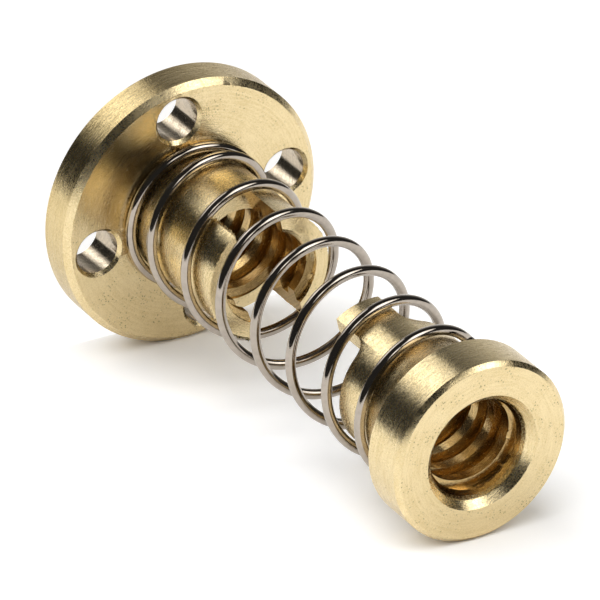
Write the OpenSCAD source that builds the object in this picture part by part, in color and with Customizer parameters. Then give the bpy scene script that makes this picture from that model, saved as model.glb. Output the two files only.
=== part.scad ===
// Spring-loaded anti-backlash nut for an 8 mm lead screw, in brass, with a steel spring.
//
// A flanged nut is screwed to the machine. A second, preload nut runs on the same screw, and a
// compression spring pushes the two apart, so each nut bears on the opposite flank of the
// screw's thread and the backlash goes. Two tangs on the preload nut slide in a cross slot in
// the flanged nut's hub, and stop it turning by itself.
//
// Origin: the centre of the screw hole on the flange's back face. +Z runs along the screw,
// towards the preload nut. The spring is drawn relaxed. The bores are drawn at the thread's
// crests. All sizes are in millimetres.

/* [Flange] */
// Diameter of the flange
flange_d = 22; // [20:0.1:30]
// Thickness of the flange
flange_h = 3.6; // [2.5:0.1:5]
// Chamfer around both edges of the flange
flange_chamfer = 0.5; // [0.2:0.05:1]
// Number of screw holes in the flange
hole_count = 4; // [3:1:6]
// Diameter of each screw hole
hole_d = 3.5; // [3:0.1:4]
// Diameter of the circle that the screw holes lie on
hole_circle_d = 16.5; // [16.2:0.1:17]
// Chamfer at both ends of each screw hole
hole_chamfer = 0.27; // [0.1:0.01:0.4]
// Direction of the first screw hole around the screw
hole_angle = 45; // [0:1:90]

/* [Hub] */
// Diameter of the hub behind the flange
hub_d = 10.2; // [9.6:0.1:10.8]
// Length of the flanged nut from the flange's back face to the hub's end
nut_h = 14.8; // [12:0.1:20]
// Depth of the cross slot from the hub's end
slot_depth = 4.5; // [3:0.1:6]
// Direction of the cross slot, and of the tangs that run in it
slot_angle = 50; // [0:1:180]

/* [Preload nut] */
// Length of the preload nut from its tang tips to the front of its head
preload_h = 15.4; // [14:0.1:22]
// Diameter of the preload nut's body and tangs
body_d = 10.3; // [9.8:0.1:10.8]
// Diameter of the head
head_d = 14.5; // [13.6:0.1:15.5]
// Length of the head's straight rim
head_h = 3.8; // [2.5:0.1:5]
// Chamfer around the front edge of the head
head_chamfer = 0.35; // [0.1:0.05:0.8]
// Radius of the cove that runs from the body out to the head, where the spring seats
cove_r = 6; // [5:0.1:8]
// Length of the two tangs
tang_h = 4.2; // [3:0.1:5]
// Width of each tang
tang_w = 3.65; // [3:0.05:4.2]
// Radius at the foot of each tang's flanks
tang_fillet = 1.2; // [0.5:0.1:1.5]
// Gap on each side of a tang in the cross slot
tang_clearance = 0.1; // [0.05:0.01:0.3]

/* [Screw bore] */
// Diameter of both bores over the crests of their thread
bore_d = 6.9; // [6:0.1:7.4]
// Diameter of the conical mouths at the two outer ends
mouth_d = 9.2; // [8.4:0.1:9.6]
// Diameter at which the preload nut's mouth turns into a steeper lead-in
lead_in_d = 8.1; // [7.6:0.1:8.3]
// Depth at which that lead-in reaches the thread's crests
lead_in_h = 1.95; // [1.3:0.05:3]
// Diameter of the small conical mouth in the hub's end
hub_mouth_d = 7.7; // [7.5:0.1:8.2]
// Diameter of the plain relief inside the tangs
relief_d = 8; // [7.6:0.1:8.4]
// Length of the bevel on the inner edge of the tang tips
relief_chamfer = 0.25; // [0.1:0.05:0.4]

/* [Spring] */
// Diameter of the spring wire
wire_d = 0.8; // [0.6:0.05:0.9]
// Distance between turns of the relaxed spring
spring_pitch = 5; // [3:0.1:5.5]
// Number of turns that rise at the full pitch
active_turns = 6.53; // [5:0.01:8]
// Number of turns that lie flat on the flange
flange_end_turns = 0.94; // [0.7:0.01:1.2]
// Number of turns that lie flat in the head's cove
head_end_turns = 0.73; // [0.5:0.01:1.2]
// Share of a turn over which the wire bends from flat to the full pitch
bend_turns = 0.25; // [0.1:0.05:0.5]
// Direction of the wire's cut end on the flange
spring_angle = -76; // [-180:1:180]
// Gap between the spring and the body that it slides over
coil_clearance = 0.1; // [0.05:0.01:0.3]
// Gap between the spring and each of its two seats
seat_clearance = 0.05; // [0.02:0.01:0.1]

/* [Hidden] */
$fn = 96;
brass = [0.79, 0.65, 0.37];
steel = [0.62, 0.61, 0.6];
overcut = 1;              // how far a cutter reaches past the face that it opens
cove_steps = 20;          // cones that make up the cove
steps_per_turn = 44;      // rings of the spring in one turn
wire_sides = 10;          // sides of the wire

flange_r = flange_d / 2;
hub_r = hub_d / 2;
body_r = body_d / 2;
head_r = head_d / 2;
bore_r = bore_d / 2;
mouth_r = mouth_d / 2;
lead_in_r = lead_in_d / 2;
hub_mouth_r = hub_mouth_d / 2;
relief_r = relief_d / 2;
wire_r = wire_d / 2;

slot_w = tang_w + 2 * tang_clearance;

// The spring: the wire's centre line
spring_r = max(hub_r, body_r) + coil_clearance + wire_r;
spring_turns = flange_end_turns + active_turns + head_end_turns;
spring_rise = spring_pitch * active_turns;
spring_z = flange_h + seat_clearance + wire_r;

// The cove: an arc that leaves the body smoothly and ends at the head's rim
cove_h = sqrt(pow(cove_r, 2) - pow(cove_r - (head_r - body_r), 2));
cove_sweep = asin(cove_h / cove_r);
cove_z = preload_h - head_h - cove_h;

// The wire's last turn touches the cove this far above the cove's start
seat_reach = cove_r - wire_r - seat_clearance;
seat_h = sqrt(max(0, pow(seat_reach, 2) - pow(cove_r + body_r - spring_r, 2)));
preload_z = spring_z + spring_rise - seat_h - cove_z;

// ---------- flanged nut ----------

module flange_nut_profile() {
    polygon([
        [mouth_r, 0],
        [flange_r - flange_chamfer, 0],
        [flange_r, flange_chamfer],
        [flange_r, flange_h - flange_chamfer],
        [flange_r - flange_chamfer, flange_h],
        [hub_r, flange_h],
        [hub_r, nut_h],
        [hub_mouth_r, nut_h],
        [bore_r, nut_h - (hub_mouth_r - bore_r)],
        [bore_r, mouth_r - bore_r]
    ]);
}

// One screw hole with a chamfer at each end, as a solid to cut with
module screw_hole() {
    hole_r = hole_d / 2;
    wide_r = hole_r + hole_chamfer + overcut;
    translate([0, 0, -overcut]) cylinder(r = hole_r, h = flange_h + 2 * overcut);
    translate([0, 0, -overcut]) cylinder(r1 = wide_r, r2 = hole_r, h = hole_chamfer + overcut);
    translate([0, 0, flange_h - hole_chamfer])
        cylinder(r1 = hole_r, r2 = wide_r, h = hole_chamfer + overcut);
}

module cross_slot() {
    translate([-hub_r - overcut, -slot_w / 2, nut_h - slot_depth])
        cube([hub_d + 2 * overcut, slot_w, slot_depth + overcut]);
}

module flange_nut() {
    color(brass) difference() {
        rotate_extrude() flange_nut_profile();
        for (i = [0 : hole_count - 1])
            rotate(hole_angle + i * 360 / hole_count) translate([hole_circle_d / 2, 0, 0]) screw_hole();
        rotate(slot_angle) cross_slot();
    }
}

// ---------- spring ----------

// Height of the wire after t turns of rising: a parabola over the bend, then a straight line
function climb(t) =
    t <= 0 ? 0 :
    t < bend_turns ? spring_pitch * t * t / (2 * bend_turns) :
    spring_pitch * (t - bend_turns / 2);

// Height of the wire's centre line after t turns from its end on the flange
function wire_z(t) =
    let (up = t - flange_end_turns + bend_turns / 2)
    spring_z + climb(up) - climb(up - active_turns);

// One corner of the ring around the wire after t turns, at the given angle around the wire
function wire_corner(t, around) =
    let (turn = spring_angle + 360 * t, reach = spring_r + wire_r * cos(around))
    [reach * cos(turn), reach * sin(turn), wire_z(t) + wire_r * sin(around)];

module spring() {
    rings = round(spring_turns * steps_per_turn);
    corners = [for (i = [0 : rings], j = [0 : wire_sides - 1])
        wire_corner(spring_turns * i / rings, -360 * j / wire_sides)];
    sides = [for (i = [0 : rings - 1], j = [0 : wire_sides - 1])
        let (a = i * wire_sides + j, b = i * wire_sides + (j + 1) % wire_sides)
        [a, b, b + wire_sides, a + wire_sides]];
    first_end = [for (j = [wire_sides - 1 : -1 : 0]) j];
    last_end = [for (j = [0 : wire_sides - 1]) rings * wire_sides + j];
    color(steel) polyhedron(points = corners, faces = concat([first_end, last_end], sides));
}

// ---------- preload nut ----------

// The cove's arc, from the body to the head's rim
function cove_points() = [for (i = [0 : cove_steps])
    let (a = cove_sweep * i / cove_steps)
    [body_r + cove_r * (1 - cos(a)), cove_z + cove_r * sin(a)]];

module preload_nut_profile() {
    polygon(concat(
        [[relief_r + relief_chamfer, 0], [body_r, 0]],
        cove_points(),
        [
            [head_r, preload_h - head_chamfer],
            [head_r - head_chamfer, preload_h],
            [mouth_r, preload_h],
            [lead_in_r, preload_h - (mouth_r - lead_in_r)],
            [bore_r, preload_h - lead_in_h],
            [bore_r, tang_h + relief_r - bore_r],
            [relief_r, tang_h],
            [relief_r, relief_chamfer]
        ]
    ));
}

// What is milled away beside a tang, seen along the tang, with the fillet at its foot
module beside_tang_profile() {
    foot = [tang_w / 2, tang_h - tang_fillet];
    difference() {
        translate([tang_w / 2, -overcut]) square([body_r, tang_h + overcut]);
        difference() {
            translate(foot) square(tang_fillet);
            translate(foot + [tang_fillet, 0]) circle(r = tang_fillet);
        }
    }
}

module beside_tangs() {
    for (side = [0, 180])
        rotate(side) translate([-body_r - overcut, 0, 0]) rotate([90, 0, 90])
            linear_extrude(body_d + 2 * overcut) beside_tang_profile();
}

module preload_nut() {
    color(brass) translate([0, 0, preload_z]) difference() {
        rotate_extrude() preload_nut_profile();
        rotate(slot_angle) beside_tangs();
    }
}

flange_nut();
spring();
preload_nut();
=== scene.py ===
# %% [markdown]
# # A spring-loaded lead screw nut, from turned brass and spring wire
# The part is three pieces: a flanged nut, a spring, and a small preload nut that the spring
# pushes away from it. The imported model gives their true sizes. Here each piece is made again
# with smooth curves, a real screw thread and a worked-metal finish, and rides on its own body.

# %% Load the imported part
import math
import random

import bmesh
import bpy
from mathutils import Matrix, Vector


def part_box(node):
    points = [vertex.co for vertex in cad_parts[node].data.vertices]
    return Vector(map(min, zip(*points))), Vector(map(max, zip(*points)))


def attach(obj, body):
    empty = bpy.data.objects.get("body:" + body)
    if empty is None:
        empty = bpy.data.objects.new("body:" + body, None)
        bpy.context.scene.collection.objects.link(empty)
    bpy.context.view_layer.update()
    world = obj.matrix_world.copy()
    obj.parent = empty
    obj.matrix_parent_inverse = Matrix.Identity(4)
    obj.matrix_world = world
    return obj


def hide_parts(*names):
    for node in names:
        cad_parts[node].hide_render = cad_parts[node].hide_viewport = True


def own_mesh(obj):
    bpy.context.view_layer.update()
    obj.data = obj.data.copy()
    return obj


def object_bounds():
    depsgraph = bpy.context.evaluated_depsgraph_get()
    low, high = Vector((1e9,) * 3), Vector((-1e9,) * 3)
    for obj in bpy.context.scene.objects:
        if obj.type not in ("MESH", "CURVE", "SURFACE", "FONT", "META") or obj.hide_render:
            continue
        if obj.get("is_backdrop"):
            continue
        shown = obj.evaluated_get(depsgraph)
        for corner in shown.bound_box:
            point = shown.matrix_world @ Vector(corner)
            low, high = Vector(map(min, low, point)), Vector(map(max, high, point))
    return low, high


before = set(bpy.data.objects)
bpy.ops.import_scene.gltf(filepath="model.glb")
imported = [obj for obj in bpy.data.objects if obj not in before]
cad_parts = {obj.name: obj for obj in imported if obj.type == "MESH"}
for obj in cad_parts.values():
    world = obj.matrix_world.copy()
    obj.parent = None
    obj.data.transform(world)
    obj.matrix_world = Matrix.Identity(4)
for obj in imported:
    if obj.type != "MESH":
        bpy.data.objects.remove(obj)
cad_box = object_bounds()
MM = 0.001
TURN = 2 * math.pi
print("box in mm:", [[round(v / MM, 2) for v in corner] for corner in cad_box])

# %% [markdown]
# ## Outer sizes
# On a drawing each length is given once. The outer ones could be typed in again, but the packed
# boxes already hold them, so they are read from there and can't disagree with the model. Sizes
# inside a box, such as the flange's thickness, are given in the cell that first needs them, in
# millimetres and degrees.

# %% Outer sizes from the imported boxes
nut_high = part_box("flange_nut")[1]
preload_low, preload_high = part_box("preload_nut")
FLANGE_R, NUT_H = nut_high.x / MM, nut_high.z / MM
HEAD_R, PRELOAD_Z, TOP = preload_high.x / MM, preload_low.z / MM, preload_high.z / MM
print(f"flange {2 * FLANGE_R:.1f} mm across, flanged nut {NUT_H:.1f} mm tall")
print(f"preload nut {2 * HEAD_R:.1f} mm across, from z {PRELOAD_Z:.2f} to {TOP:.2f} mm")

# %% [markdown]
# ## Turned shapes
# A lathe part is an outline turned once round an axis, so `bmesh.ops.spin` is its natural tool. A
# Screw modifier makes the same shape, but its points aren't there to work on until it is applied.
# The outline is a chain of (radius, height) points. It is closed for a piece with a bore, and open
# for a solid one, whose outline starts and ends on the axis.

# %% Turn an outline
TURN_STEPS = 240
MERGE = 1e-7


def turned(points, steps=TURN_STEPS, closed=True):
    """A bmesh with the outline, in millimetres, spun once round the screw's axis."""
    bm = bmesh.new()
    chain = [bm.verts.new((r * MM, 0, z * MM)) for r, z in points]
    for a, b in zip(chain, chain[1:] + chain[:1] if closed else chain[1:]):
        bm.edges.new((a, b))
    bmesh.ops.spin(bm, geom=bm.verts[:] + bm.edges[:], cent=(0, 0, 0), axis=(0, 0, 1),
                   dvec=(0, 0, 0), angle=TURN, steps=steps, use_merge=True)
    bmesh.ops.remove_doubles(bm, verts=bm.verts[:], dist=MERGE)
    bmesh.ops.recalc_face_normals(bm, faces=bm.faces[:])
    return bm


def linked(bm, name):
    """The bmesh as an object in the scene."""
    mesh = bpy.data.meshes.new(name)
    bm.to_mesh(mesh)
    bm.free()
    obj = bpy.data.objects.new(name, mesh)
    bpy.context.scene.collection.objects.link(obj)
    return obj


print(f"a facet on the flange's rim is {TURN * FLANGE_R / TURN_STEPS:.2f} mm wide")

# %% [markdown]
# ## The bore, ready for a thread
# The bore is a plain hole with a cone at each end. The thread is shaped later by moving points on
# its wall, so the wall needs many of them. The whole mesh could be subdivided, but only the bore
# needs it. So the outline gets a row of points every 24th of the thread's pitch, and no row close
# to a corner, where it would leave a sliver.

# %% Rows of points on the bore's wall
BORE_R, THREAD_ROOT_R, THREAD_PITCH = 3.45, 4.1, 2.0
THREAD_ROWS = 24
ROW = THREAD_PITCH / THREAD_ROWS
CORNER_ROOM = 0.6  # rows kept clear beside a corner
SAME = 1e-3  # lengths nearer than this are the same, in millimetres
ON_END = 1e-4  # how far past its end a stretch of the wall still counts


def wall_radius(wall, z):
    """Radius of the plain bore at a height, from its corners listed downwards."""
    for (r_top, z_top), (r_low, z_low) in zip(wall, wall[1:]):
        if z_low - ON_END <= z <= z_top + ON_END:
            return r_top + (r_low - r_top) * (z_top - z) / (z_top - z_low)
    return None


def with_rows(wall):
    """The bore's corners with the thread's rows between them, downwards."""
    out = []
    for (r_top, z_top), (_, z_low) in zip(wall, wall[1:]):
        out.append((r_top, z_top))
        first = math.floor(z_top / ROW - CORNER_ROOM)
        last = math.ceil(z_low / ROW + CORNER_ROOM)
        out += [(wall_radius(wall, k * ROW), k * ROW) for k in range(first, last - 1, -1)]
    return out + [wall[-1]]


print(f"the bore is {2 * BORE_R:.1f} mm across, with a row of points every {ROW:.3f} mm")

# %% [markdown]
# ## The screw thread
# The nut has a right-handed trapezoidal thread: a flat crest, two steep flanks and a flat root that
# climb together, 2 mm in each turn. A groove could be cut by a swept tool, but a long boolean is
# slow and leaves slivers at the cone. Here the bore's rows of points are first tilted until they
# climb with the thread, and then each point moves out to where the thread puts it. Where the
# cone is already wider than the groove, nothing moves, and the thread runs out as a real one does.

# %% Thread
CREST_ROWS, FLANK_ROWS, CREST_MIDDLE_ROW = 10, 2, 3
RUN_IN = 0.9  # length over which the groove deepens


def groove_radius(angle, z):
    """Radius of the threaded bore at an angle and a height, in millimetres."""
    row = (z / THREAD_PITCH - angle / TURN) * THREAD_ROWS - CREST_MIDDLE_ROW
    from_crest = abs((row + THREAD_ROWS / 2) % THREAD_ROWS - THREAD_ROWS / 2)
    depth = min(1, max(0, (from_crest - CREST_ROWS / 2) / FLANK_ROWS))
    return BORE_R + (THREAD_ROOT_R - BORE_R) * depth


def cut_thread(bm, wall, start_z):
    """Moves the points on the bore's wall to the thread, which deepens over RUN_IN below start_z."""
    moved = 0
    for v in bm.verts:
        r, z = math.hypot(v.co.x, v.co.y) / MM, v.co.z / MM
        plain_r = wall_radius(wall, z)
        if plain_r is None or abs(plain_r - r) > SAME:
            continue
        angle = math.atan2(v.co.y, v.co.x)
        at_corner = min(abs(z - corner_z) for _, corner_z in wall) < SAME
        if not at_corner and abs(z / ROW - round(z / ROW)) < SAME:
            climb_rows = THREAD_ROWS * angle / TURN
            z += (climb_rows - round(climb_rows)) * ROW
        depth = min(1, max(0, (start_z - z) / RUN_IN)) * (groove_radius(angle, z) - BORE_R)
        r = max(wall_radius(wall, z), BORE_R + depth)
        v.co = (r * MM * math.cos(angle), r * MM * math.sin(angle), z * MM)
        moved += 1
    bore = [f for f in bm.faces if f.calc_center_median().xy.length < THREAD_ROOT_R * MM]
    bmesh.ops.triangulate(bm, faces=bore, quad_method="SHORT_EDGE", ngon_method="BEAUTY")
    return moved


print(f"the thread is {THREAD_ROOT_R - BORE_R:.2f} mm deep, with crests {CREST_ROWS * ROW:.2f} mm wide")

# %% [markdown]
# ## Cutting slots and holes
# The cross slot, the screw holes and the spaces beside the tangs are milled and drilled on the
# real part. The openings could be built into the mesh by hand, but that is slow work among so many
# facets. Here a Boolean modifier cuts each with a simple solid and is applied at once. Every
# cutter reaches a millimetre past the metal, so that no two faces lie on each other.

# %% Cut with a solid
PAST = 1  # how far a cutter reaches past the metal


def cut(obj, cutter):
    """Takes the cutter away from the object, and deletes the cutter."""
    mod = obj.modifiers.new("cut", "BOOLEAN")
    mod.operation, mod.solver, mod.object = "DIFFERENCE", "EXACT", cutter
    depsgraph = bpy.context.evaluated_depsgraph_get()
    cut_mesh = bpy.data.meshes.new_from_object(obj.evaluated_get(depsgraph))
    obj.modifiers.clear()
    obj.data = cut_mesh
    bpy.data.objects.remove(cutter)


def block(low, high, turn):
    """A box between two corners, turned round the screw's axis, as a bmesh."""
    bm = bmesh.new()
    bmesh.ops.create_cube(bm, size=1)
    size = [h - l for l, h in zip(low, high)]
    middle = [(h + l) / 2 * MM for l, h in zip(low, high)]
    bmesh.ops.scale(bm, verts=bm.verts[:], vec=[s * MM for s in size])
    bmesh.ops.translate(bm, verts=bm.verts[:], vec=middle)
    bmesh.ops.rotate(bm, verts=bm.verts[:], cent=(0, 0, 0), matrix=Matrix.Rotation(turn, 3, "Z"))
    return bm


# %% A drill with a countersink at both ends
DRILL_STEPS = 72


def drill(radius, low, high, chamfer, at):
    """The drill as an object to cut with, standing at a place in metres."""
    wide = chamfer + PAST
    bm = turned([(0, low - PAST), (radius + wide, low - PAST), (radius, low + chamfer),
                 (radius, high - chamfer), (radius + wide, high + PAST), (0, high + PAST)],
                steps=DRILL_STEPS, closed=False)
    bmesh.ops.translate(bm, verts=bm.verts[:], vec=at)
    return linked(bm, "drill")


# %% [markdown]
# ## Eased edges
# No real edge is perfectly sharp: a worn tool and a rub with a cloth break it by a hair, and the
# hair catches the light. A live Bevel modifier could do it, but it would also round the thread.
# So the bevel is a bmesh operator, on the sharp edges beyond a radius that leaves the bore alone.

# %% Break the sharp edges
EASE = 0.06
SHARP = math.radians(30)


def ease(obj, reach):
    """Bevels the sharp edges that lie beyond a radius, and tells how many there were."""
    bm = bmesh.new()
    bm.from_mesh(obj.data)
    sharp = [e for e in bm.edges if e.is_manifold and e.calc_face_angle() > SHARP
             and min(v.co.xy.length for v in e.verts) > reach * MM]
    bmesh.ops.bevel(bm, geom=sharp, offset=EASE * MM, affect="EDGES", segments=2, profile=0.5,
                    clamp_overlap=True, material=-1)
    bm.to_mesh(obj.data)
    bm.free()
    return len(sharp)


# %% [markdown]
# ## Burrs
# A slot cutter tears a thin, ragged lip of brass along the edges where it leaves the metal. The
# edge could be roughened by a texture, but a real lip stands up and shows against the light. Here
# it is a thin strip of three points at each step along the edge. Its ridge wanders, and on the
# worst edge it stands up to a third of a millimetre. Up the slot's sides the strip is a mere fin.

# %% Burr along an edge
LIP = 0.03  # half the width of the lip's root
LIFTS, ROOTS = (0.1, 1), (0.2, 1)  # share of the height and of the root at each step
STRAYS = (-0.04, 0.02)  # how far the ridge strays sideways
LEVEL_WAY = 0.5  # with less rise than this, a lip stands out level
ARC_STEP, ARC_RISE = 0.13, 0.7


def burr(bm, path, height, dice):
    """A ragged lip along a path of (point, outward direction) pairs, in millimetres."""
    rings = []
    for (x, y, z), way in path:
        centre, way = Vector((x, y, z)), Vector(way).normalized()
        lift = height * dice.uniform(*LIFTS)
        level = abs(way.z) < LEVEL_WAY
        across = Vector((0, 0, 1)) if level else Vector((x, y, 0)).normalized()
        points = (centre - across * LIP, centre + across * LIP * dice.uniform(*ROOTS),
                  centre + way * lift + across * dice.uniform(*STRAYS))
        rings.append([bm.verts.new(p * MM) for p in points])
    for near, far in zip(rings, rings[1:]):
        for i in range(3):
            bm.faces.new((near[i], near[(i + 1) % 3], far[(i + 1) % 3], far[i]))
    for end in (rings[0], rings[-1]):
        bm.faces.new(end)


def arc(radius, z, start, end):
    """Points on a circle at a height, with the way that a lip leans from each."""
    count = max(2, round(abs(end - start) * radius / ARC_STEP))
    for i in range(count + 1):
        a = start + (end - start) * i / count
        yield (radius * math.cos(a), radius * math.sin(a), z), (math.cos(a), math.sin(a), ARC_RISE)


# %% [markdown]
# ## The flanged nut
# The large nut is turned from brass bar: a wide flange with small chamfers, a narrow hub, and a
# bore with a cone at each end. Then a slot is milled across the hub for the preload nut's tangs,
# and four screw holes are drilled. It could be joined from a disc and a tube, but one outline
# turned once leaves no seam between them, and the cuts follow in the order of the workshop.

# %% Turn the flanged nut
FLANGE_H, FLANGE_CHAMFER = 3.6, 0.5
HUB_R, HUB_MOUTH_R, MOUTH_R = 5.1, 3.85, 4.6

nut_wall = [(HUB_MOUTH_R, NUT_H), (BORE_R, NUT_H - (HUB_MOUTH_R - BORE_R)),
            (BORE_R, MOUTH_R - BORE_R), (MOUTH_R, 0)]
bm = turned([
    (FLANGE_R - FLANGE_CHAMFER, 0), (FLANGE_R, FLANGE_CHAMFER),
    (FLANGE_R, FLANGE_H - FLANGE_CHAMFER), (FLANGE_R - FLANGE_CHAMFER, FLANGE_H),
    (HUB_R, FLANGE_H), (HUB_R, NUT_H), *with_rows(nut_wall)])
print("thread points moved in the flanged nut:", cut_thread(bm, nut_wall, NUT_H + RUN_IN))
flange_nut = linked(bm, "flange_nut_turned")

# %% Mill its slot and drill its holes
SLOT_DEPTH, SLOT_W, SLOT_ANGLE = 4.5, 3.85, math.radians(50)
HOLE_R, HOLE_CIRCLE_R, HOLE_CHAMFER, HOLES, FIRST_HOLE = 1.75, 8.25, 0.27, 4, 45
EASED_BEYOND = 4.2

slot = block((-HUB_R - PAST, -SLOT_W / 2, NUT_H - SLOT_DEPTH),
             (HUB_R + PAST, SLOT_W / 2, NUT_H + PAST), SLOT_ANGLE)
cut(flange_nut, linked(slot, "slot"))
for i in range(HOLES):
    a = math.radians(FIRST_HOLE + 360 / HOLES * i)
    centre = Vector((math.cos(a), math.sin(a), 0)) * HOLE_CIRCLE_R * MM
    cut(flange_nut, drill(HOLE_R, 0, FLANGE_H, HOLE_CHAMFER, centre))
print("flanged nut edges eased:", ease(flange_nut, EASED_BEYOND))

# %% Leave burrs on its slot and rim
TORN, FAINT, RIM_BURR = 0.34, 0.1, 0.05
SUNK = 0.02  # depth of the lip's root in the metal
SLOT_BURR_STEPS = 34

bm = bmesh.new()
bm.from_mesh(flange_nut.data)
dice = random.Random(4)
half_slot = math.asin(SLOT_W / 2 / HUB_R)
levels = [NUT_H - SLOT_DEPTH * i / SLOT_BURR_STEPS for i in range(SLOT_BURR_STEPS + 1)]
for side, prong in ((0, TORN), (math.pi, FAINT)):
    near = SLOT_ANGLE + side
    prong_top = arc(HUB_R - SUNK, NUT_H - SUNK, near + half_slot, near + math.pi - half_slot)
    burr(bm, prong_top, prong, dice)
    for turn, height in ((1, prong), (-1, FAINT)):
        a = near + turn * half_slot
        lean = (math.cos(a) + turn * math.sin(a), math.sin(a) - turn * math.cos(a), 0)
        edge = [((HUB_R * math.cos(a), HUB_R * math.sin(a), z), lean) for z in levels]
        burr(bm, edge, height, dice)
burr(bm, arc(FLANGE_R - FLANGE_CHAMFER, FLANGE_H - SUNK, 0, TURN), RIM_BURR, dice)
bmesh.ops.recalc_face_normals(bm, faces=bm.faces[:])
bm.to_mesh(flange_nut.data)
bm.free()
print("flanged nut faces:", len(flange_nut.data.polygons))

# %% [markdown]
# ## The preload nut
# The small nut has a round head, a hollow curve below it that the spring's end sits under, and a
# slim body that ends in two tangs. The tangs slide in the flanged nut's slot and keep the two nuts
# from turning apart. The curve could be a bevel, but as an arc in the outline it keeps its true
# radius. Both spaces beside the tangs are cut by a block with one rounded edge, which leaves the
# fillet where a tang meets the body.

# %% Turn the preload nut
BODY_R, HEAD_H, HEAD_CHAMFER, COVE_R, COVE_STEPS = 5.15, 3.8, 0.35, 6.0, 20
TANG_H, TANG_W, RELIEF_R, RELIEF_CHAMFER = 4.2, 3.65, 4.0, 0.25
LEAD_IN_R, LEAD_IN_DEPTH, THREAD_START = 4.05, 1.95, 1

cove_h = math.sqrt(COVE_R ** 2 - (COVE_R - (HEAD_R - BODY_R)) ** 2)
cove_z = TOP - HEAD_H - cove_h
cove_sweep = math.asin(cove_h / COVE_R)
cove = [(BODY_R + COVE_R * (1 - math.cos(a)), cove_z + COVE_R * math.sin(a))
        for a in (cove_sweep * i / COVE_STEPS for i in range(COVE_STEPS + 1))]
preload_wall = [(MOUTH_R, TOP), (LEAD_IN_R, TOP - (MOUTH_R - LEAD_IN_R)),
                (BORE_R, TOP - LEAD_IN_DEPTH),
                (BORE_R, PRELOAD_Z + TANG_H + RELIEF_R - BORE_R), (RELIEF_R, PRELOAD_Z + TANG_H)]
bm = turned([
    (RELIEF_R, PRELOAD_Z + RELIEF_CHAMFER), (RELIEF_R + RELIEF_CHAMFER, PRELOAD_Z),
    (BODY_R, PRELOAD_Z), *cove, (HEAD_R, TOP - HEAD_CHAMFER), (HEAD_R - HEAD_CHAMFER, TOP),
    *with_rows(preload_wall)])
print("thread points moved in the preload nut:", cut_thread(bm, preload_wall, TOP - THREAD_START))
preload_nut = linked(bm, "preload_nut_turned")

# %% Cut beside its tangs
TANG_FILLET, FILLET_STEPS = 1.2, 16
EASED_BEYOND_BODY = 4.65

for side in (0, math.pi):
    bm = block((-BODY_R - PAST, TANG_W / 2, -PAST), (BODY_R + PAST, TANG_W / 2 + BODY_R, TANG_H), 0)
    foot = [e for e in bm.edges if all(
        abs(v.co.y / MM - TANG_W / 2) < SAME and abs(v.co.z / MM - TANG_H) < SAME for v in e.verts)]
    bmesh.ops.bevel(bm, geom=foot, offset=TANG_FILLET * MM, affect="EDGES",
                    segments=FILLET_STEPS, profile=0.5, material=-1)
    bmesh.ops.translate(bm, verts=bm.verts[:], vec=(0, 0, PRELOAD_Z * MM))
    bmesh.ops.rotate(bm, verts=bm.verts[:], cent=(0, 0, 0),
                     matrix=Matrix.Rotation(SLOT_ANGLE + side, 3, "Z"))
    cut(preload_nut, linked(bm, "beside_tang"))
print("preload nut edges eased:", ease(preload_nut, EASED_BEYOND_BODY))
print("preload nut faces:", len(preload_nut.data.polygons))

# %% [markdown]
# ## The spring
# The spring is round wire, wound open in the middle and closed at both ends, where nearly a flat
# turn lies on the flange and another under the head. A profile spun with a rise makes an even coil,
# but not one whose rise starts and stops softly. So the wire's centre is worked out turn by turn, a
# curve runs along it with a round bevel, and the curve is made a mesh.

# %% Route of the wire
WIRE_R, SPRING_R, SEAT_GAP = 0.4, 5.65, 0.05
PITCH, BEND_TURNS, FIRST_END = 5.0, 0.25, math.radians(-76)
FLANGE_TURNS, ACTIVE_TURNS, HEAD_TURNS = 0.94, 6.53, 0.73
SPRING_TURNS = FLANGE_TURNS + ACTIVE_TURNS + HEAD_TURNS


def climb(t):
    """Height that the wire has gained after t turns of rising."""
    if t <= 0:
        return 0
    if t < BEND_TURNS:
        return PITCH * t * t / (2 * BEND_TURNS)
    return PITCH * (t - BEND_TURNS / 2)


def wire_point(t):
    """The wire's centre after t turns from its end on the flange, in metres."""
    up = t - FLANGE_TURNS + BEND_TURNS / 2
    z = FLANGE_H + SEAT_GAP + WIRE_R + climb(up) - climb(up - ACTIVE_TURNS)
    a = FIRST_END + TURN * t
    return Vector((SPRING_R * math.cos(a), SPRING_R * math.sin(a), z)) * MM


print(f"{SPRING_TURNS:.2f} turns, up to z {wire_point(SPRING_TURNS).z / MM + WIRE_R:.2f} mm")

# %% Wind the wire
STEPS_IN_TURN = 96

count = round(SPRING_TURNS * STEPS_IN_TURN)
curve = bpy.data.curves.new("spring_route", "CURVE")
curve.dimensions = "3D"
curve.twist_mode = "Z_UP"
curve.bevel_depth = WIRE_R * MM
curve.bevel_resolution = 7
curve.use_fill_caps = True
spline = curve.splines.new("POLY")
spline.points.add(count)
for i in range(count + 1):
    spline.points[i].co = (*wire_point(SPRING_TURNS * i / count), 1)
route = bpy.data.objects.new("spring_route", curve)
bpy.context.scene.collection.objects.link(route)
depsgraph = bpy.context.evaluated_depsgraph_get()
spring_mesh = bpy.data.meshes.new_from_object(route.evaluated_get(depsgraph))
spring = bpy.data.objects.new("spring_wire", spring_mesh)
bpy.context.scene.collection.objects.link(spring)
bpy.data.objects.remove(route)
print("spring faces:", len(spring.data.polygons))

# %% [markdown]
# ## Building materials from nodes
# A material is a chain of shader nodes. It could be wired by hand in the editor, but a script needs
# it in words, and a few short helpers keep those words readable: one makes a node with its settings
# and inputs, and the others are the steps that every finish here repeats. The Mix node has separate
# sockets for numbers and colours, so each has a helper of its own.

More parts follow.
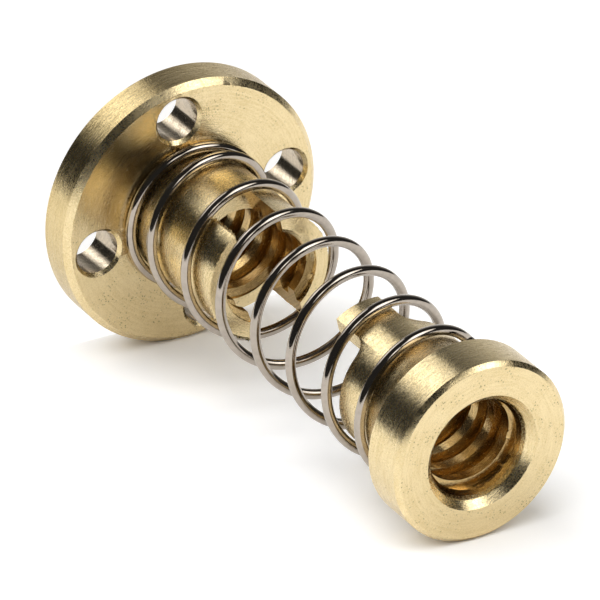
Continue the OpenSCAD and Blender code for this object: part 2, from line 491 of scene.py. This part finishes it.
# %% Shader node helpers
def fresh_material(name):
    """A new material and its empty node tree."""
    mat = bpy.data.materials.new(name)
    mat.use_nodes = True
    mat.node_tree.nodes.clear()
    return mat, mat.node_tree


def node(tree, kind, inputs=None, **settings):
    """A shader node with its settings and its input values or links."""
    made = tree.nodes.new(kind)
    for key, value in settings.items():
        setattr(made, key, value)
    for key, value in (inputs or {}).items():
        if isinstance(value, bpy.types.NodeSocket):
            tree.links.new(value, made.inputs[key])
        else:
            made.inputs[key].default_value = value
    return made


def vector_math(tree, operation, inputs, result="Vector"):
    """One step of arithmetic on vectors."""
    return node(tree, "ShaderNodeVectorMath", inputs, operation=operation).outputs[result]


def blend(tree, share, first, second):
    """A number between two, nearer the second as the share grows."""
    return node(tree, "ShaderNodeMix", {"Factor": share, 2: first, 3: second}).outputs[0]


def blend_colour(tree, share, first, second):
    """A colour between two, nearer the second as the share grows."""
    made = node(tree, "ShaderNodeMix", {"Factor": share, 6: first, 7: second}, data_type="RGBA")
    return made.outputs[2]


def ranged(tree, value, span, result=(0, 1)):
    """The value's stretch of `span`, spread over `result`."""
    return node(tree, "ShaderNodeMapRange", {
        "Value": value, "From Min": span[0], "From Max": span[1],
        "To Min": result[0], "To Max": result[1]}).outputs["Result"]


def bumped(tree, height, distance, below=None):
    """A normal that follows a height, on top of another normal. The distance is in millimetres."""
    inputs = {"Height": height, "Strength": 1.0, "Distance": distance * MM}
    if below is not None:
        inputs["Normal"] = below
    return node(tree, "ShaderNodeBump", inputs).outputs["Normal"]


def blotches(tree, where, scale, detail, roughness=0.5):
    """Soft random blotches from 0 to 1, `scale` of them in a metre."""
    return node(tree, "ShaderNodeTexNoise", {
        "Vector": where, "Scale": scale, "Detail": detail, "Roughness": roughness}).outputs["Fac"]


# %% [markdown]
# ## Worked brass
# Turning leaves fine rings round the axis, and the cut surface is dotted with grain, a few small
# pits, and patches that have dulled. An image could be wrapped round the piece, but round a lathe
# part it smears at the middle and shows its seam. So the marks come from noise whose coordinates
# are long round the axis and close together across it. The metal is also brushed: its highlight
# spreads across the rings, as Anisotropic does along a radial tangent.

# %% Coordinates of lathe marks
HEIGHT_SHARE = 0.7  # what height counts for beside radius, so that a chamfer has rings too


def lathe_marks(tree, along, across):
    """Noise coordinates on a turned piece: long marks round the axis, close together across it."""
    here = node(tree, "ShaderNodeTexCoord").outputs["Object"]
    split = node(tree, "ShaderNodeSeparateXYZ", {"Vector": here}).outputs
    flat = node(tree, "ShaderNodeCombineXYZ", {"X": split["X"], "Y": split["Y"]}).outputs["Vector"]
    radius = vector_math(tree, "LENGTH", {0: flat}, "Value")
    way = vector_math(tree, "NORMALIZE", {0: flat})
    way = vector_math(tree, "SCALE", {0: way, "Scale": along})
    level = node(tree, "ShaderNodeMath", {0: split["Z"], 1: HEIGHT_SHARE, 2: radius},
                 operation="MULTIPLY_ADD").outputs[0]
    level = node(tree, "ShaderNodeMath", {0: level, 1: across}, operation="MULTIPLY").outputs[0]
    lift = node(tree, "ShaderNodeCombineXYZ", {"Z": level}).outputs["Vector"]
    return vector_math(tree, "ADD", {0: way, 1: lift})


# %% Brass
BRASS_PIT = (0.24, 0.19, 0.09, 1)
LINES, RINGS = (13, 9000), (3, 6000)
GRAIN_SCALE, PATCH_SCALE, PIT_SCALE = 9000, 700, 4200
GRAIN_SHARE, RING_SHARE, LINE_SHARE = 0.7, 0.35, 0.5
SHADE_SPAN, PIT_SPAN, PITTED_SPAN, ROUGH_SPAN = (0.4, 0.6), (0.14, 0.3), (0.47, 0.6), (0.35, 0.65)
SMOOTHEST, ROUGHEST = 0.6, 1.4  # times the roughness that a finish asks for


def brass(name, bright, dull, roughness, brushed, marks, grain, pits=0):
    """Worked brass. `marks` and `grain` are the depths of the tool marks and the grain, in
    millimetres, `brushed` is how far the highlight spreads, and `pits` how dark the pits are."""
    mat, tree = fresh_material(name)
    here = node(tree, "ShaderNodeTexCoord").outputs["Object"]
    lines = blotches(tree, lathe_marks(tree, *LINES), 1, detail=3, roughness=0.6)
    speck = blotches(tree, here, GRAIN_SCALE, detail=2, roughness=0.6)
    drift = blotches(tree, here, PATCH_SCALE, detail=4)
    rings = blotches(tree, lathe_marks(tree, *RINGS), 1, detail=2)
    shade = blend(tree, RING_SHARE, blend(tree, GRAIN_SHARE, drift, speck), rings)
    tone = blend_colour(tree, ranged(tree, shade, SHADE_SPAN), bright, dull)
    spot = node(tree, "ShaderNodeTexVoronoi", {"Vector": here, "Scale": PIT_SCALE})
    hollow = ranged(tree, spot.outputs["Distance"], PIT_SPAN, (pits, 0))
    depth = node(tree, "ShaderNodeMath", {0: hollow, 1: ranged(tree, drift, PITTED_SPAN)},
                 operation="MULTIPLY").outputs[0]
    both = blend(tree, LINE_SHARE, lines, speck)
    shader = node(tree, "ShaderNodeBsdfPrincipled", {
        "Base Color": blend_colour(tree, depth, tone, BRASS_PIT), "Metallic": 1.0,
        "Anisotropic": brushed, "Anisotropic Rotation": 0.25,
        "Roughness": ranged(tree, both, ROUGH_SPAN, (SMOOTHEST * roughness, ROUGHEST * roughness)),
        "Tangent": node(tree, "ShaderNodeTangent", direction_type="RADIAL", axis="Z").outputs[0],
        "Normal": bumped(tree, speck, grain, bumped(tree, lines, marks))})
    node(tree, "ShaderNodeOutputMaterial", {"Surface": shader.outputs["BSDF"]})
    return mat


# %% [markdown]
# ## The finishes of the two nuts
# One brass would look cast. On the real part each surface has been through something else: the faces
# are the brightest and pitted, and the rim carries deeper rings. The rim is also painted darker, as
# painted shade that dims its highlight, and the bore is painted darker and browner, as painted shade
# deep in the hole. The walls of the screw holes are smooth, and darker and greyer than the faces. These
# finishes could be painted on in a texture, but each belongs to a shape, so a face gets its finish from
# its radius, height and slope.

# %% Six finishes of brass
BRASS = (0.87, 0.71, 0.42, 1)
BRASS_DULL = (0.75, 0.59, 0.31, 1)
# The next colour is painted shade on the rim: a darker brass that dims its highlight.
BRASS_RIM_PAINTED_SHADE = (0.62, 0.47, 0.22, 1)
# The next two colours are painted shade in the bore: darker and browner than the outside brass.
BORE_SHADED_BROWN = (0.70, 0.50, 0.22, 1)
BORE_SHADED_DARK = (0.42, 0.29, 0.13, 1)
# The next two colours make the screw holes' walls darker and greyer than the faces.
DRILLED = (0.66, 0.56, 0.42, 1)
DRILLED_DULL = (0.42, 0.35, 0.26, 1)

turned_side = brass("brass_turned_side", BRASS, BRASS_DULL, 0.26, 0.6, marks=0.016, grain=0.006)
turned_face = brass("brass_turned_face", BRASS, BRASS_DULL, 0.2, 0.5, marks=0.01, grain=0.005, pits=0.8)
edge_brass = brass("brass_edge", BRASS, BRASS_DULL, 0.28, 0.7, marks=0.014, grain=0.01)
# Painted shade: the bore's brass is darker and browner than the outside.
bore_shaded_brass = brass("brass_bore_painted_shade", BORE_SHADED_BROWN, BORE_SHADED_DARK, 0.2, 0.3, marks=0.008, grain=0.004)
drilled_brass = brass("brass_drilled", DRILLED, DRILLED_DULL, 0.2, 0, marks=0.001, grain=0.006)
# Painted shade: the rim's brass is darker, which dims its highlight; its deeper rings are bumps.
rim_shaded_brass = brass("brass_rim_painted_shade", BRASS_DULL, BRASS_RIM_PAINTED_SHADE, 0.26, 0.75, marks=0.028, grain=0.01)
FINISHES = (turned_side, turned_face, edge_brass, bore_shaded_brass, drilled_brass, rim_shaded_brass)
SIDE, FACE, EDGE, BORE, DRILLED_WALL, RIM = range(len(FINISHES))
print("finishes of brass:", [mat.name for mat in FINISHES])

# %% Give each face its finish
FLAT, NEARLY_FLAT, STEEP = 0.9, 0.98, 0.3  # upright share of a face's normal
HOLES_BEYOND = 6
SMOOTH_UP_TO = math.radians(35)


def finish_turned(obj, bore, rim):
    """Gives each face of a turned piece its finish, and shades round stretches smooth. `bore` and `rim`
    are the lowest and highest z of the bore's painted shade and of the rim with its chamfers."""
    obj.data.materials.clear()
    for mat in FINISHES:
        obj.data.materials.append(mat)
    for face in obj.data.polygons:
        r = math.hypot(face.center.x, face.center.y) / MM
        z = face.center.z / MM
        slope = abs(face.normal.z)
        # Painted shade: the bore between its bright ends gets the darker, browner brass.
        if r < THREAD_ROOT_R and bore[0] < z < bore[1] and slope < NEARLY_FLAT:
            face.material_index = BORE
        elif r > HOLES_BEYOND and rim[0] <= z <= rim[1] and STEEP < slope < FLAT:
            face.material_index = EDGE
        elif slope > FLAT:
            face.material_index = FACE
        elif HOLES_BEYOND < r < FLANGE_R - FLANGE_CHAMFER and z < FLANGE_H:
            face.material_index = DRILLED_WALL
        # Painted shade: the rim gets the darker brass.
        elif r > FLANGE_R - FLANGE_CHAMFER:
            face.material_index = RIM
        face.use_smooth = True
    obj.data.set_sharp_from_angle(angle=SMOOTH_UP_TO)
    even = obj.modifiers.new("even", "WEIGHTED_NORMAL")
    even.keep_sharp = True
    print(obj.name, "faces in each finish:", [
        sum(face.material_index == i for face in obj.data.polygons) for i in range(len(FINISHES))])


# %% Finish both nuts
# The bore's ends, over these lengths, are left out of the painted shade.
UNSHADED_END, UNSHADED_MOUTH = 0.3, 0.9  # lengths at the bore's ends that stay bright
RIM_SPARE = 0.1
HEAD_EDGE = 1

finish_turned(flange_nut, (0, NUT_H - UNSHADED_END), (-RIM_SPARE, FLANGE_H + RIM_SPARE))
finish_turned(preload_nut, (PRELOAD_Z + TANG_H + UNSHADED_END, TOP - UNSHADED_MOUTH),
              (TOP - HEAD_EDGE, TOP + RIM_SPARE))

# %% [markdown]
# ## Spring steel
# Spring wire is drawn through a die, so it is smooth and mirrors its surroundings, with a thin grey
# haze from handling. Plain grey metal would look like plastic here. A very low roughness that
# varies a little with the haze gives the sharp light and dark lines that run along real wire.

# %% Steel for the wire
STEEL, STEEL_HAZE = (0.53, 0.47, 0.40, 1), (0.36, 0.31, 0.26, 1)
HAZE_SCALE, DIE_SCALE, DIE_MARKS = 2500, 7000, 0.002
WIRE_ROUGHNESS = (0.05, 0.14)
WIRE_SMOOTH_UP_TO = math.radians(40)


def steel_wire():
    """Drawn spring wire: a near mirror, with a haze that greys and dulls it a little."""
    mat, tree = fresh_material("spring_steel")
    here = node(tree, "ShaderNodeTexCoord").outputs["Object"]
    haze = blotches(tree, here, HAZE_SCALE, detail=4)
    speck = blotches(tree, here, DIE_SCALE, detail=2)
    shader = node(tree, "ShaderNodeBsdfPrincipled", {
        "Base Color": blend_colour(tree, haze, STEEL, STEEL_HAZE), "Metallic": 1.0,
        "Roughness": ranged(tree, haze, (0, 1), WIRE_ROUGHNESS),
        "Normal": bumped(tree, speck, DIE_MARKS)})
    node(tree, "ShaderNodeOutputMaterial", {"Surface": shader.outputs["BSDF"]})
    return mat


spring.data.materials.clear()
spring.data.materials.append(steel_wire())
for face in spring.data.polygons:
    face.material_index = 0
    face.use_smooth = True
spring.data.set_sharp_from_angle(angle=WIRE_SMOOTH_UP_TO)
print("the spring is of", spring.data.materials[0].name)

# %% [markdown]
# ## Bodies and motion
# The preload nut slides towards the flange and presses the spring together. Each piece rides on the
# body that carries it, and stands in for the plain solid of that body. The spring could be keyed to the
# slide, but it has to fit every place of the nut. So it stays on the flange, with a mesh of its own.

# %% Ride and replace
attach(flange_nut, "flange_nut")
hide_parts("flange_nut")
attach(preload_nut, "preload_nut")
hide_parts("preload_nut")
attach(spring, "flange_nut")
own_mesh(spring)
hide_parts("spring")

# %% [markdown]
# ## Camera
# The part is seen from over its preload nut, and lies aslant in the frame. A short lens would
# swell the near nut. A long one, set well back, keeps both nuts close to their true sizes. The
# camera is placed by the angles of its line of sight, its roll round that line, and the point
# that it aims at.

# %% Camera
AZIMUTH, ELEVATION, ROLL = math.radians(78.81), math.radians(47.5), math.radians(129.72)
AIM = Vector((0.92, 4.19, 23.75)) * MM
DISTANCE, FARTHEST = 0.585, 20  # metres
LENS, SENSOR = 480, 36  # millimetres

back = Vector((math.cos(ELEVATION) * math.cos(AZIMUTH), math.cos(ELEVATION) * math.sin(AZIMUTH),
               math.sin(ELEVATION)))
camera_data = bpy.data.cameras.new("camera")
camera_data.lens = LENS
camera_data.sensor_width = SENSOR
camera_data.clip_end = FARTHEST
camera = bpy.data.objects.new("camera", camera_data)
bpy.context.scene.collection.objects.link(camera)
turn_back = back.to_track_quat("Z", "Y").to_matrix()
camera.matrix_world = (Matrix.Translation(AIM + back * DISTANCE)
                       @ (turn_back @ Matrix.Rotation(ROLL, 3, "Z")).to_4x4())
bpy.context.scene.camera = camera
bpy.context.scene.view_settings.view_transform = "Standard"
print(f"the camera sees {SENSOR / LENS * DISTANCE / MM:.1f} mm across at the part")

# %% [markdown]
# ## Paper for the studio
# A small shiny part looks best on white paper in a white room. The paper could be made white by
# more light, but that would bleach the brass too. So it stays a matt paper that keeps a shadow,
# and Light Path tells it who is looking: the camera and a mirror image in the metal see a lighter
# shade of it than the one that throws light back on the part. A one-sided sheet is clear from
# behind, and so never hides the part from below.

# %% Sheets and paper
STUDIO = 2.5


def sheet(name, centre, normal, size, material):
    """A square sheet with its front along the normal, reaching `size` metres each way."""
    bm = bmesh.new()
    bmesh.ops.create_grid(bm, x_segments=1, y_segments=1, size=size)
    obj = linked(bm, name)
    obj.matrix_world = (Matrix.Translation(centre)
                        @ Vector(normal).to_track_quat("Z", "Y").to_matrix().to_4x4())
    obj.data.materials.append(material)
    obj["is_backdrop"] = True
    return obj


def grey(value):
    """A neutral colour."""
    return (value, value, value, 1)


def from_front(tree, surface):
    """The surface on a sheet's front, and nothing at all on its back."""
    behind = node(tree, "ShaderNodeNewGeometry").outputs["Backfacing"]
    clear = node(tree, "ShaderNodeBsdfTransparent").outputs[0]
    return node(tree, "ShaderNodeMixShader", {0: behind, 1: surface, 2: clear}).outputs[0]


def paper(name, shade, glow, one_sided=True, seen=1.0, mirrored=1.0):
    """Matt paper with a glow of its own. The camera sees its shade times `seen`, a mirror image in
    the metal shows it times `mirrored`, and the light that it throws back has the plain shade."""
    mat, tree = fresh_material(name)
    rays = node(tree, "ShaderNodeLightPath").outputs
    colour = blend_colour(tree, rays["Diffuse Depth"], grey(shade * mirrored), grey(shade))
    colour = blend_colour(tree, rays["Is Camera Ray"], colour, grey(shade * seen))
    matt = node(tree, "ShaderNodeBsdfDiffuse", {"Color": colour})
    lift = node(tree, "ShaderNodeEmission", {"Color": grey(1), "Strength": glow})
    surface = node(tree, "ShaderNodeAddShader", {0: matt.outputs[0], 1: lift.outputs[0]}).outputs[0]
    if one_sided:
        surface = from_front(tree, surface)
    node(tree, "ShaderNodeOutputMaterial", {"Surface": surface})
    return mat


def hidden_from(obj, *rays):
    """Hides a piece of the studio from some kinds of ray."""
    for ray in rays:
        setattr(obj, "visible_" + ray, False)


# %% [markdown]
# ## Floor and card
# The part stands on a pale floor, and a white card leans against both of its rims. To the camera,
# which is rolled, the part then lies on the card, and shadows fall on it. The card could be turned
# by eye until it touches, but its lean follows from the two rims: over the length between them it
# comes in by the difference of their radii.

# %% Floor
FLOOR_DROP = 0.05

floor = sheet("floor", (0, 0, -FLOOR_DROP * MM), (0, 0, 1), STUDIO, paper("floor_paper", 0.3, 0.93))
hidden_from(floor, "glossy", "shadow", "diffuse")
print("the floor is at z", round(floor.matrix_world.translation.z / MM, 2), "mm")

# %% Card that touches both rims
CARD_AZIMUTH = math.radians(34)

rims_apart = TOP - HEAD_CHAMFER - (FLANGE_H - FLANGE_CHAMFER)
card_lean = math.atan2(FLANGE_R - HEAD_R, rims_apart)
card_way = Vector((math.cos(CARD_AZIMUTH), math.sin(CARD_AZIMUTH), 0))
up = card_way * math.cos(card_lean) - Vector((0, 0, math.sin(card_lean)))
touch = (Vector((0, 0, FLANGE_H - FLANGE_CHAMFER)) - card_way * FLANGE_R) * MM
card_paper = paper("card_paper", 0.88, 0, seen=1.36, mirrored=1.18)
card = sheet("back_card", up * up.dot(touch), up, STUDIO, card_paper)
print(f"the card leans {math.degrees(card_lean):.1f} degrees from the screw's axis")

# %% [markdown]
# ## Soft boxes
# Polished metal shows its surroundings, so what the brass mirrors matters more than how much light
# falls on it. Lamps would leave hard dots. Lit cloths leave broad, soft highlights, and as their
# light falls off towards the rim, the edges of those highlights are soft too. Each is placed by its
# bearing from the camera and its height over the card. The scrim is large and even: it only gives
# soft light, and the metal doesn't mirror it.

# %% Lit cloths
front = (back - up * back.dot(up)).normalized()
right = up.cross(front)


def cloth(name, bearing, height, half, power, edge):
    """A lit square cloth, seen from the part at a bearing from the camera and a height over the
    card, and `half` of its angle across. Its light falls to `edge` of its power at the rim."""
    b, h = math.radians(bearing), math.radians(height)
    way = (front * math.cos(b) + right * math.sin(b)) * math.cos(h) + up * math.sin(h)
    size = math.tan(math.radians(half))
    mat, tree = fresh_material(name)
    here = node(tree, "ShaderNodeTexCoord").outputs["Object"]
    fall = node(tree, "ShaderNodeMapRange", {
        "Value": vector_math(tree, "LENGTH", {0: here}, "Value"), "From Min": 0, "From Max": size,
        "To Min": power, "To Max": power * edge}, interpolation_type="SMOOTHSTEP").outputs["Result"]
    lit = node(tree, "ShaderNodeEmission", {"Color": grey(1), "Strength": fall}).outputs[0]
    node(tree, "ShaderNodeOutputMaterial", {"Surface": from_front(tree, lit)})
    made = sheet(name, AIM + way, -way, size, mat)
    hidden_from(made, "camera")
    print(f"{name} is {2 * size:.2f} m across, at a strength of {power}")
    return made


cloth("softbox_left", bearing=-134, height=42, half=18, power=2.7, edge=0.4)
cloth("softbox_right", bearing=72, height=40, half=17, power=4.0, edge=0.5)
cloth("reflector", bearing=35, height=34, half=8, power=3.0, edge=0.5)
scrim = cloth("scrim", bearing=-50, height=60, half=38, power=2.1, edge=1)
hidden_from(scrim, "glossy")

# %% [markdown]
# ## Backdrop and room
# Around the card the camera should see plain white, in every direction. A white world would do
# that, but the metal would mirror it from all sides and lose its dark lines. So the white is a
# sphere that only the camera sees. The world behind it, which the metal mirrors, is a dim room
# that brightens to one side, away from the camera.

# %% Backdrop
BACKDROP_R = 3

backdrop_bm = bmesh.new()
bmesh.ops.create_uvsphere(backdrop_bm, u_segments=48, v_segments=24, radius=BACKDROP_R)
bmesh.ops.reverse_faces(backdrop_bm, faces=backdrop_bm.faces[:])
backdrop = linked(backdrop_bm, "backdrop")
backdrop.data.materials.append(paper("backdrop_paper", 0, 1.0, one_sided=False))
hidden_from(backdrop, "diffuse", "glossy", "transmission", "shadow")
backdrop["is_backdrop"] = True
print("the backdrop has", len(backdrop.data.polygons), "faces")

# %% Room
ROOM = ((0.6, 0.03), (0.78, 0.2), (0.91, 0.5), (0.975, 0.85))

world = bpy.data.worlds.new("studio")
bpy.context.scene.world = world
world.use_nodes = True
tree = world.node_tree
tree.nodes.clear()
ray = node(tree, "ShaderNodeTexCoord").outputs["Generated"]
away = vector_math(tree, "DOT_PRODUCT", {0: ray, 1: -front}, "Value")
room = node(tree, "ShaderNodeValToRGB", {"Fac": away})
while len(room.color_ramp.elements) < len(ROOM):
    room.color_ramp.elements.new(1.0)
for element, (place, value) in zip(room.color_ramp.elements, ROOM):
    element.position = place
    element.color = grey(value)
light = node(tree, "ShaderNodeBackground", {"Color": room.outputs["Color"], "Strength": 1.0})
node(tree, "ShaderNodeOutputWorld", {"Surface": light.outputs[0]})
print("the room's light goes from", ROOM[0][1], "to", ROOM[-1][1])

# %% [markdown]
# ## Finish
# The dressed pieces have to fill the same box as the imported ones.

# %% Compare the boxes and finish
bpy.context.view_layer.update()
gaps = [abs(a - b) / MM for ours, packed in zip(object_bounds(), cad_box) for a, b in zip(ours, packed)]
print(f"the two boxes agree within {max(gaps):.3f} mm")
